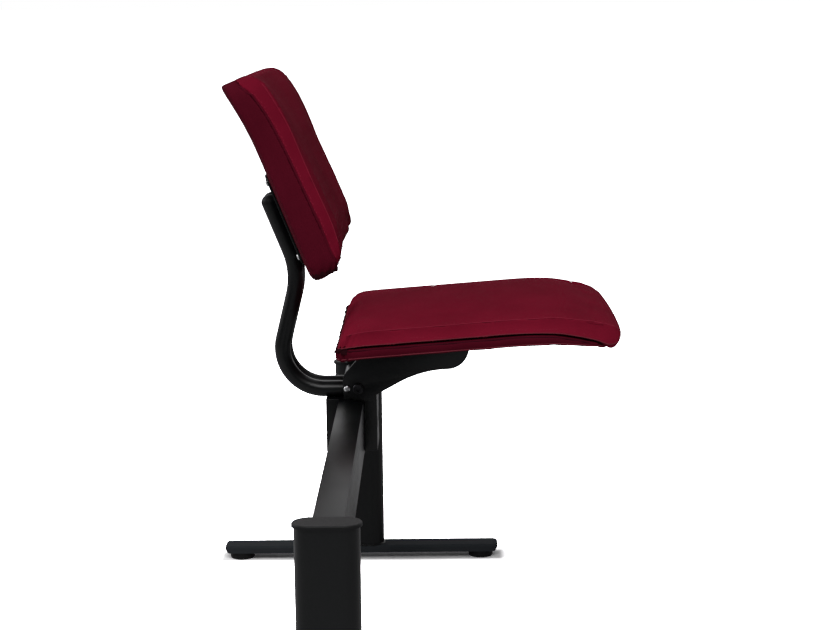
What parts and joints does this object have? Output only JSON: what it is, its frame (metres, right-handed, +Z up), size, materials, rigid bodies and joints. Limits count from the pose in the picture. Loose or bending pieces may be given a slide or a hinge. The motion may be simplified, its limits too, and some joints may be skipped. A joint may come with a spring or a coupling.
{
  "type": "beam seat",
  "caption": "Upholstered seat and back on a rectangular beam between T-shaped legs, the seat tipping up on a pivot that is clamped to the beam.",
  "frame": {"origin": "on the floor under the middle of the object's box", "axes": "+X along the beam from the near leg to the far leg, +Y to the rear, the seat faces -Y, +Z up"},
  "size_m": [1.015, 0.616, 0.8111],
  "materials": {
    "black_frame": "satin black powder coat",
    "black_plastic": "fine-grained black plastic",
    "dark_fasteners": "blackened steel",
    "bright_zinc": "bright zinc plate",
    "red_fabric": "burgundy woven upholstery"
  },
  "bodies": {
    "frame": {"beam_tube": "black_frame", "leg_column_near": "black_frame", "leg_column_far": "black_frame", "column_cap_near": "black_plastic", "column_cap_far": "black_plastic", "foot_bar_near": "black_frame", "foot_bar_far": "black_frame", "foot_glides_near": "black_plastic", "foot_glides_far": "black_plastic", "seat_saddle": "black_frame", "saddle_clamp": "black_frame", "clamp_bolts": "dark_fasteners", "clamp_nuts": "dark_fasteners", "back_tube_near": "black_frame", "back_tube_far": "black_frame", "tube_plugs": "black_plastic", "back_mount_plate": "black_frame", "back_screws": "bright_zinc", "back_shell": "red_fabric", "back_pad": "red_fabric", "pivot_washers": "black_plastic"},
    "seat": {"side_plate_near": "black_frame", "side_plate_far": "black_frame", "seat_mount_plate": "black_frame", "seat_screws": "dark_fasteners", "seat_pan": "red_fabric", "seat_pad": "red_fabric", "pivot_bolt": "dark_fasteners", "pivot_nut": "dark_fasteners", "stop_screws": "bright_zinc"}
  },
  "joints": [
    {"name": "seat_tip_up", "type": "hinge", "parent": "frame", "child": "seat", "pos_m": [0.24, 0.071, 0.347], "axis": [-1, 0, 0], "range_deg": [0, 50]}
  ]
}
